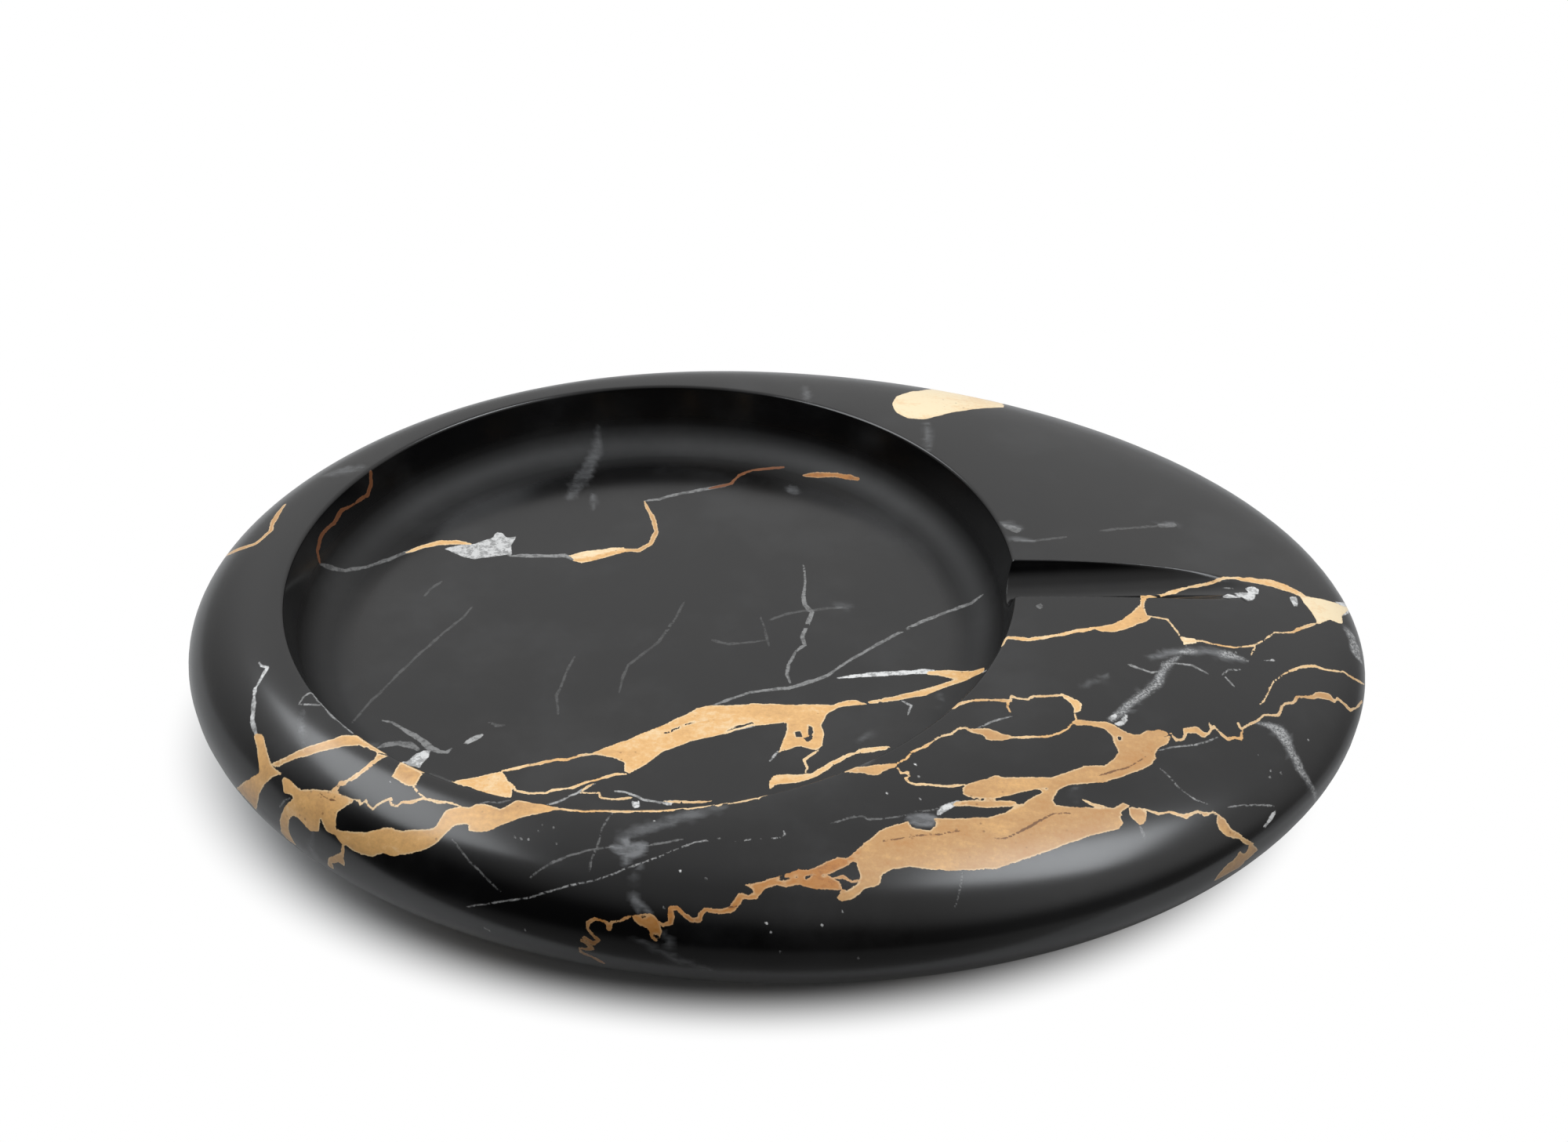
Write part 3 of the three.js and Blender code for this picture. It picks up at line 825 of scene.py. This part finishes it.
def polish(station, angle):
    """1 on the skin, a little more in the well and the groove, least in the fillet between them."""
    radius, height = stone_section(station, angle)
    in_groove = np.clip((height - groove_height(radius, angle)) / GROOVE_FADE, 0, 1)
    whole = np.interp(station, list(POLISH_BENDS), list(POLISH_BENDS.values()))
    return whole + (GROOVE_POLISH - whole) * in_groove


def turned_away(station, angle):
    """1 where the camera can't see the surface, away from the groove and its lips."""
    radius, height = stone_section(station, angle)
    towards = VIEW_FROM - stone_point(station, angle)
    facing = (stone_normal(station, angle) * towards).sum(1) / np.linalg.norm(towards, axis=1)
    return np.clip(-facing / FACING_FADE, 0, 1) * (groove_height(radius, angle) > height + LIP_MARGIN)


def distances(group):
    return np.array([vein.distance(*places) for vein in group])


places = surface(station, angle)
gold_all, pale_all, smoke_all = distances(gold), distances(pale), distances(smoke)
smoke_tones = np.array([[vein.tone] for vein in smoke])
LAYERS = {
    "gold_edge": np.maximum(gold_all.min(0), -distances(holes).min(0)),
    "gold_tone": nearest_tone(gold_all, [vein.tone for vein in gold]),
    "crack_edge": distances(cracks).min(0),
    "pale_edge": pale_all.min(0),
    "pale_strength": nearest_tone(pale_all, [vein.tone for vein in pale]),
    "grain_edge": distances(grains).min(0),
    "smoke": (smoke_tones * np.clip(0.5 - smoke_all / SMOKE_FADE, 0, 1)).max(0),
    "polish": polish(station, angle),
    "turned_away": turned_away(station, angle),
}
for name, values in LAYERS.items():
    print(f"{name}: {values.min():.2f} to {values.max():.2f}")

# %% Roll up
CENTRE, BASE_SLACK = 0.5 * MM, 0.01 * MM


def smooth_mesh(shape, name):
    """The finished mesh of a shape, smooth all over."""
    for face in shape.faces:
        face.smooth = True
    mesh = bpy.data.meshes.new(name)
    shape.to_mesh(mesh)
    shape.free()
    return mesh


def at_base_centre(vertex):
    low = vertex.co.z < BASE_Z * MM + BASE_SLACK
    return low and math.hypot(vertex.co.x - WELL_X * MM, vertex.co.y) < CENTRE


normal_layer = skin.verts.layers.float_vector.new("exact_normal")
layers = {name: skin.verts.layers.float.new(name) for name in LAYERS}
for vertex, place, normal in zip(skin.verts, places[0] * MM, stone_normal(station, angle)):
    vertex.co = place
    vertex[normal_layer] = normal
for name, layer in layers.items():
    for vertex, value in zip(skin.verts, LAYERS[name]):
        vertex[layer] = value
doubles = [vertex for vertex in skin.verts if at_base_centre(vertex)]
bmesh.ops.remove_doubles(skin, verts=doubles, dist=CENTRE)
bmesh.ops.recalc_face_normals(skin, faces=skin.faces)

stone_mesh = smooth_mesh(skin, "marble")
normals = np.zeros(3 * len(stone_mesh.vertices), np.float32)
stone_mesh.attributes["exact_normal"].data.foreach_get("vector", normals)
stone_mesh.attributes.remove(stone_mesh.attributes["exact_normal"])
stone_mesh.normals_split_custom_set_from_vertices(normals.reshape(-1, 3))
stone = put_in_scene("marble", stone_mesh)
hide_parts("marble_body")
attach(stone, "root")
print("stone:", len(stone_mesh.vertices), "vertices,", len(stone_mesh.polygons), "triangles")

# %% [markdown]
# ## Writing shaders as sums
#
# A material is a graph of nodes. Wrapping a socket in a small class lets Python's own operators add
# the Math nodes, so a mask reads like the sum that it is.


# %% Socket
class Socket:
    """A node's output that takes part in sums."""

    def __init__(self, tree, output):
        self.tree, self.output = tree, output

    def node(self, kind, settings=None, out=0, **inputs):
        """Adds a node: its settings first, then the values or links of its sockets."""
        made = self.tree.nodes.new(kind)
        for name, value in (settings or {}).items():
            if name == "stops":
                fill_ramp(made.color_ramp, value)
            else:
                setattr(made, name, value)
        for name, value in inputs.items():
            numbered = name[0] == "i" and name[1:].isdigit()
            key = int(name[1:]) if numbered else name.replace("_", " ")
            if isinstance(value, Socket):
                self.tree.links.new(value.output, made.inputs[key])
            else:
                made.inputs[key].default_value = value
        return Socket(self.tree, made.outputs[out])

    def math(self, operation, a, b):
        return self.node("ShaderNodeMath", {"operation": operation}, i0=a, i1=b)

    def __add__(self, other):
        return self.math("ADD", self, other)

    def __sub__(self, other):
        return self.math("SUBTRACT", self, other)

    def __rsub__(self, other):
        return self.math("SUBTRACT", other, self)

    def __mul__(self, other):
        return self.math("MULTIPLY", self, other)

    __radd__, __rmul__ = __add__, __mul__

    def clamp(self):
        return self.node("ShaderNodeClamp", Value=self)

    def size(self):
        return self.math("ABSOLUTE", self, 0)

    def larger(self, other):
        return self.math("MAXIMUM", self, other)

    def step(self, start, end):
        """A soft step from 0 at start to 1 at end."""
        settings = {"interpolation_type": "SMOOTHSTEP"}
        return self.node("ShaderNodeMapRange", settings, Value=self, i1=start, i2=end)

    def mix(self, a, b):
        """Colour a where this is 0, colour b where it is 1."""
        return self.node("ShaderNodeMix", {"data_type": "RGBA"}, 2, i0=self, i6=a, i7=b)

    def scaled(self, factor):
        return self.node("ShaderNodeVectorMath", {"operation": "SCALE"}, i0=self, Scale=factor)

    def noise(self, per_mm, detail=4.0, rough=0.5):
        return self.node("ShaderNodeTexNoise", Vector=self, Scale=per_mm, Detail=detail, Roughness=rough)


def fill_ramp(ramp, stops):
    while len(ramp.elements) < len(stops):
        ramp.elements.new(0.5)
    for element, (place, colour) in zip(ramp.elements, stops):
        element.position, element.color = place, colour


def new_material(name, roughness):
    """A material, its shader node, and Object coordinates in mm."""
    material = bpy.data.materials.new(name)
    material.use_nodes = True
    tree = material.node_tree
    shader = tree.nodes["Principled BSDF"]
    shader.inputs["Roughness"].default_value = roughness
    place = Socket(tree, tree.nodes.new("ShaderNodeTexCoord").outputs["Object"])
    return material, shader, place.scaled(1 / MM)


def attribute(place, name):
    return place.node("ShaderNodeAttribute", {"attribute_name": name}, 2)


def connect(shader, name, socket):
    socket.tree.links.new(socket.output, shader.inputs[name])


def camera_ray(tree):
    """1 for what the camera sees itself, 0 for what it sees in a mirror or as light."""
    return Socket(tree, tree.nodes.new("ShaderNodeLightPath").outputs["Is Camera Ray"])


# %% [markdown]
# ## The marble's finish
#
# Polished black marble is nearly black in itself: what the eye reads as grey is the studio, mirrored
# softly in the polish. Into that go brown clouds, smoke, white threads, and the gold. A little noise
# frays every edge, so that no vein looks cut with a knife, and the gold has grain, pits and a pale
# border, as the real one does.

# %% Colours of the marble
BLACK = (0.0018, 0.0018, 0.002, 1)
BROWN_BLACK = (0.0034, 0.003, 0.0028, 1)
SMOKE_GREY = (0.15, 0.153, 0.158, 1)
WHITE = (0.74, 0.74, 0.73, 1)
CREAM_GOLD = (0.84, 0.69, 0.45, 1)
BRIGHT_GOLD = (0.71, 0.41, 0.155, 1)
TAN_GOLD = (0.5, 0.28, 0.112, 1)
OCHRE_GOLD = (0.44, 0.18, 0.04, 1)
RUST = (0.17, 0.062, 0.025, 1)
EDGE_CREAM = (0.8, 0.62, 0.38, 1)
PIT_BROWN = (0.12, 0.045, 0.015, 1)

# %% Noises of the marble, each with its waves per mm, detail and roughness
FRAY, FINE_FRAY, WISPS, HAZE = (0.6, 4, 0.6), (2.6, 3), (0.2, 8, 0.7), (0.045, 6, 0.62)
STREAKS, LODE, LODE_SWELL, THREAD = (0.5, 7, 0.68), (0.016, 4, 0.55), (0.03, 2), (0.022, 5, 0.6)
BREAKS, GLITTER, BORDER, PITTED = (1.1, 5, 0.7), (2.4, 4, 0.75), (0.18, 3), (0.11, 3)
GRAIN, DRIFT, CLOUDS = (1.3, 5, 0.7), (0.09, 2), (0.035, 5, 0.6)
STREAK_TURN, STREAK_STRETCH = 0.35, 0.3
PITS_PER_MM = 0.75
GOLD_SOFT, PALE_SOFT, CRACK_SOFT = 0.05, 0.1, 0.06

# %% Masks of the marble
MARBLE_ROUGHNESS = 0.2

marble, marble_shader, place = new_material("black_marble", MARBLE_ROUGHNESS)
fray = place.noise(*FRAY) - 0.5
fine_fray = place.noise(*FINE_FRAY) - 0.5
wisps = place.noise(*WISPS)
haze = place.noise(*HAZE).step(0.45, 0.72)
drawn_out = place.node("ShaderNodeMapping", Vector=place, Rotation=(0, 0, STREAK_TURN),
                       Scale=(STREAK_STRETCH, 1, 1))
streaks = drawn_out.noise(*STREAKS)
unseen = attribute(place, "turned_away")


def frayed(name, coarse, fine):
    """The distance to an edge, frayed by two noises."""
    return attribute(place, name) + fray * coarse + fine_fray * fine


lode = (place.noise(*LODE) - 0.5).size() - place.noise(*LODE_SWELL).step(0.45, 0.75) * 0.016
thread = (place.noise(*THREAD) - 0.5).size()
gold_edge = frayed("gold_edge", 0.5, 0.3)
gold_mask = gold_edge.step(GOLD_SOFT, -GOLD_SOFT).larger(unseen * lode.step(0.0024, 0.0012))
broken = 0.45 + place.noise(*BREAKS).step(0.4, 0.56) * 0.55
pale_mask = frayed("pale_edge", 0.3, 0.26).step(PALE_SOFT, -PALE_SOFT) * attribute(place, "pale_strength")
glitter = place.noise(*GLITTER).step(0.42, 0.6)
grain_mask = frayed("grain_edge", 0.8, 0.9).step(0.35, -0.55) * (0.02 + glitter * 0.42)
pale_mask = (pale_mask * broken).larger(grain_mask).larger(unseen * thread.step(0.0022, 0.0006) * 0.3)
smoke_grain = (streaks * 0.6 + wisps * 0.4).step(0.4, 0.62)
smoke_mask = attribute(place, "smoke") * (0.3 + smoke_grain * 0.7)

# %% Gold of the marble
border = gold_edge.step(-0.34, -0.04) * place.noise(*BORDER).step(0.34, 0.52)
speckle = place.node("ShaderNodeTexVoronoi", Vector=place, Scale=PITS_PER_MM)
pits = speckle.step(0.2, 0.09) * place.noise(*PITTED).step(0.5, 0.62)
grain = streaks * 0.5 + place.noise(*GRAIN) * 0.5
base_tone = attribute(place, "gold_tone")
tone = (base_tone + (grain - 0.5) * 0.9 + (place.noise(*DRIFT) - 0.5) * 0.5).clamp()
cracked = frayed("crack_edge", 0.5, 0.4).step(CRACK_SOFT, -CRACK_SOFT)

GOLD_STOPS = [(0, CREAM_GOLD), (BRIGHT, BRIGHT_GOLD), (TAN, TAN_GOLD), (OCHRE, OCHRE_GOLD), (1, RUST)]
gold_colour = place.node("ShaderNodeValToRGB", {"stops": GOLD_STOPS}, Fac=tone)
gold_colour = (border * (0.95 - base_tone * 0.8).clamp()).mix(gold_colour, EDGE_CREAM)
gold_colour = (pits * 0.5).larger(cracked * 0.85).mix(gold_colour, PIT_BROWN)

# %% Black marble
UNPOLISHED, POLISH_GAIN, GOLD_DULL, WISP_DULL = 0.46, 0.27, 0.08, 0.05

colour = place.noise(*CLOUDS).step(0.42, 0.68).mix(BLACK, BROWN_BLACK)
colour = (smoke_mask + haze * 0.06).clamp().mix(colour, SMOKE_GREY)
colour = pale_mask.mix(colour, WHITE)
colour = gold_mask.mix(colour, gold_colour)
connect(marble_shader, "Base Color", colour)
rough = UNPOLISHED - attribute(place, "polish") * POLISH_GAIN
connect(marble_shader, "Roughness", rough + gold_mask * GOLD_DULL + wisps * WISP_DULL)
stone_mesh.materials.append(marble)
print("black marble:", len(marble.node_tree.nodes), "nodes")

# %% [markdown]
# ## Felt pads
#
# Each pad is a punched disc of pressed felt. The punch leaves a clean edge that the weight of the
# stone rounds a little. A short cylinder with its rims bevelled does that.
# Felt has no weave, so its finish is tangled fibre: a fine and a coarse noise in the colour, and the
# fine one in the bump too.

# %% Felt finish
FELT_DARK = (0.028, 0.026, 0.024, 1)
FELT_LIGHT = (0.085, 0.08, 0.076, 1)

FELT_ROUGHNESS, FELT_SHEEN, SHEEN_ROUGHNESS = 0.95, 0.4, 0.6
FIBRE, TUFT = (2.2, 8, 0.75), (0.45, 4, 0.6)
NAP_STRENGTH, NAP_HEIGHT = 0.5, 0.4 * MM

felt, felt_shader, place = new_material("grey_felt", FELT_ROUGHNESS)
fibre = place.noise(*FIBRE)
tangle = (fibre * 0.6 + place.noise(*TUFT) * 0.4).step(0.3, 0.7)
connect(felt_shader, "Base Color", tangle.mix(FELT_DARK, FELT_LIGHT))
nap = place.node("ShaderNodeBump", Strength=NAP_STRENGTH, Distance=NAP_HEIGHT, Height=fibre)
connect(felt_shader, "Normal", nap)
felt_shader.inputs["Sheen Weight"].default_value = FELT_SHEEN
felt_shader.inputs["Sheen Roughness"].default_value = SHEEN_ROUGHNESS

# %% Pads
PAD_SIDES = 64
PAD_ROUNDING = 0.45
ROUNDING_STEPS = 3
CAP_INSETS = (2, 3)
PAD_NAMES = [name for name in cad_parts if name.startswith("felt_pad_")]


def felt_pad(node):
    low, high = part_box(node)
    middle, size = (low + high) / 2, high - low
    pad = bmesh.new()
    bmesh.ops.create_circle(pad, cap_ends=True, segments=PAD_SIDES, radius=size.x / 2)
    disc = pad.faces[:]
    raised = bmesh.ops.extrude_face_region(pad, geom=disc)
    top = [item for item in raised["geom"] if isinstance(item, bmesh.types.BMVert)]
    bmesh.ops.translate(pad, vec=(0, 0, size.z), verts=top)
    rims = [edge for edge in pad.edges if edge.verts[0].co.z == edge.verts[1].co.z]
    bmesh.ops.bevel(pad, geom=rims, offset=PAD_ROUNDING * MM, affect="EDGES", segments=ROUNDING_STEPS,
                    profile=0.5, material=-1)
    caps = [face for face in pad.faces if len(face.verts) == PAD_SIDES]
    for inset in CAP_INSETS:
        bmesh.ops.inset_region(pad, faces=caps, thickness=inset * MM)
    bmesh.ops.translate(pad, vec=(middle.x, middle.y, low.z), verts=pad.verts)
    bmesh.ops.recalc_face_normals(pad, faces=pad.faces)
    mesh = smooth_mesh(pad, node + "_felt")
    mesh.materials.append(felt)
    piece = put_in_scene(node + "_felt", mesh)
    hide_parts(node)
    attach(piece, "root")
    return piece


for name in PAD_NAMES:
    felt_pad(name)
print("felt pads:", len(PAD_NAMES))

# %% [markdown]
# ## Adhesive
#
# The film between felt and stone is a thin clear disc, and the CAD solid has its shape. It only needs
# its finish: cloudy acrylic with tiny bubbles.

# %% Adhesive finish
FILM_CLEAR = (0.62, 0.58, 0.48, 1)
FILM_CLOUDY = (0.78, 0.75, 0.68, 1)

FILM_ROUGHNESS = 0.45
FILM_CLOUDS = (0.5, 3)
BUBBLES_PER_MM = 1.4

film, film_shader, place = new_material("pad_adhesive", FILM_ROUGHNESS)
bubbles = place.node("ShaderNodeTexVoronoi", Vector=place, Scale=BUBBLES_PER_MM).step(0.3, 0.12)
cloudy = (place.noise(*FILM_CLOUDS) * 0.7 + bubbles * 0.3).clamp()
connect(film_shader, "Base Color", cloudy.mix(FILM_CLEAR, FILM_CLOUDY))
for name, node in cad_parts.items():
    if name.startswith("adhesive_"):
        node.data.materials.clear()
        node.data.materials.append(film)

# %% [markdown]
# ## The studio
#
# Polish shows the room more than the stone. The photograph's own reflections tell what stood round
# it: a white wall behind, a white board under the stone that ends just in front of the picture, the
# dark side of the room towards the camera, and two soft boxes high on the left and right. The board
# and the room's white are what the camera sees, and the stone mirrors the rest.

# %% Board
BOARD_SIZE = 6
BOARD_FRONT = 0.081
SHADOW_ENDS = (0.822, 0.972)
SHADOW_SHIFT = (6, 0, 0)
SHADOW_STRETCH = 1.06
BOARD_WHITE = (0.54, 0.54, 0.54, 1)
BOARD_SHADE = (0.5, 0.5, 0.5, 1)
BOARD_ROUGHNESS, BOARD_SHINE = 0.9, 0.1
BOARD_MOTTLE = (0.05, 2)

board = bmesh.new()
bmesh.ops.create_grid(board, x_segments=1, y_segments=1, size=BOARD_SIZE)
bmesh.ops.translate(board, vec=(0, BOARD_SIZE - BOARD_FRONT, 0), verts=board.verts)
bmesh.ops.rotate(board, matrix=Euler((0, 0, CAMERA_TURN)).to_matrix(), verts=board.verts)
board_mesh = smooth_mesh(board, "board")

board_finish, board_shader, place = new_material("board_white", BOARD_ROUGHNESS)
connect(board_shader, "Base Color", place.noise(*BOARD_MOTTLE).mix(BOARD_SHADE, BOARD_WHITE))
board_shader.inputs["Specular IOR Level"].default_value = BOARD_SHINE
tree = board_finish.node_tree
oval = place.node("ShaderNodeVectorMath", {"operation": "ADD"}, i0=place, i1=SHADOW_SHIFT)
oval_scale = (2 / LENGTH / SHADOW_STRETCH, 2 / WIDTH, 0)
oval = oval.node("ShaderNodeVectorMath", {"operation": "MULTIPLY"}, i0=oval, i1=oval_scale)
oval = oval.node("ShaderNodeVectorMath", {"operation": "LENGTH"}, 1, i0=oval)
white = tree.nodes.new("ShaderNodeEmission")
blend = tree.nodes.new("ShaderNodeMixShader")
connect(blend, "Fac", oval.step(*SHADOW_ENDS) * camera_ray(tree))
tree.links.new(board_shader.outputs[0], blend.inputs[1])
tree.links.new(white.outputs[0], blend.inputs[2])
tree.links.new(blend.outputs[0], tree.nodes["Material Output"].inputs["Surface"])

board_mesh.materials.append(board_finish)
board_piece = put_in_scene("board", board_mesh)

# %% Room
WALL_LOW, WALL_RISE, CEILING_FALL = 0.56, 0.41, 0.12
CAMERA_SIDE, CAMERA_SIDE_RISE = 0.02, 0.5
FLOOR_GLOW = 0.14
RIGHT_GLOW, RIGHT_GLOW_RISE = 0.16, 0.6
WALL_ENDS, CEILING_ENDS, FLOOR_ENDS = (0.1, 0.6), (0.75, 1.0), (-0.3, -0.6)
SIDE_ENDS, SIDE_FALL = (0.4, 0.9), 0.25
CAMERA_SIDE_ENDS, BACK_ENDS = (0.3, 0.95), (-0.35, 0.25)
RIGHT_ENDS, RIGHT_RISE_ENDS = (0.2, 0.7), (0.1, 0.65)

world = bpy.data.worlds.new("studio")
bpy.context.scene.world = world
world.use_nodes = True
tree = world.node_tree
background = tree.nodes["Background"]
direction = Socket(tree, tree.nodes.new("ShaderNodeTexCoord").outputs["Generated"])
parts = direction.node("ShaderNodeSeparateXYZ", Vector=direction).output.node.outputs
side, back, height = (Socket(tree, parts[axis]) for axis in "XYZ")
wall = WALL_LOW + height.step(*WALL_ENDS) * WALL_RISE - height.step(*CEILING_ENDS) * CEILING_FALL
wall = wall * (1 - side.size().step(*SIDE_ENDS) * SIDE_FALL)
near_side = CAMERA_SIDE + height.step(*CAMERA_SIDE_ENDS) * CAMERA_SIDE_RISE
near_side = near_side + height.step(*FLOOR_ENDS) * FLOOR_GLOW
right_glow = RIGHT_GLOW + height.step(*RIGHT_RISE_ENDS) * RIGHT_GLOW_RISE
near_side = near_side + side.step(*RIGHT_ENDS) * right_glow
facing_back = back.step(*BACK_ENDS)
room = wall * facing_back + near_side * (1 - facing_back)
seen = camera_ray(tree)
connect(background, "Strength", seen + (1 - seen) * room)
background.inputs["Color"].default_value = (1, 1, 1, 1)
print("room:", len(tree.nodes), "nodes")


# %% Soft boxes
def soft_box(name, azimuth, elevation, distance, width, height, brightness, colour):
    """A flat lamp in a direction from the stone: azimuth from +Y towards +X, in degrees."""
    turn, rise = math.radians(azimuth), math.radians(elevation)
    out = Vector((math.sin(turn) * math.cos(rise), math.cos(turn) * math.cos(rise), math.sin(rise)))
    lamp = bpy.data.lights.new(name, "AREA")
    lamp.shape, lamp.size, lamp.size_y, lamp.color = "RECTANGLE", width, height, colour
    lamp.energy = brightness * math.pi * width * height
    box = put_in_scene(name, lamp)
    box.location = out * distance
    box.rotation_euler = out.to_track_quat("Z", "Y").to_euler()


soft_box("soft_box_left", azimuth=-83, elevation=54, distance=0.9, width=0.78, height=0.37,
         brightness=4.6, colour=(0.94, 0.97, 1.0))
soft_box("soft_box_right", azimuth=90, elevation=63, distance=0.9, width=0.32, height=0.32,
         brightness=8, colour=(0.93, 0.965, 1.0))
bpy.context.scene.view_settings.view_transform = "Standard"
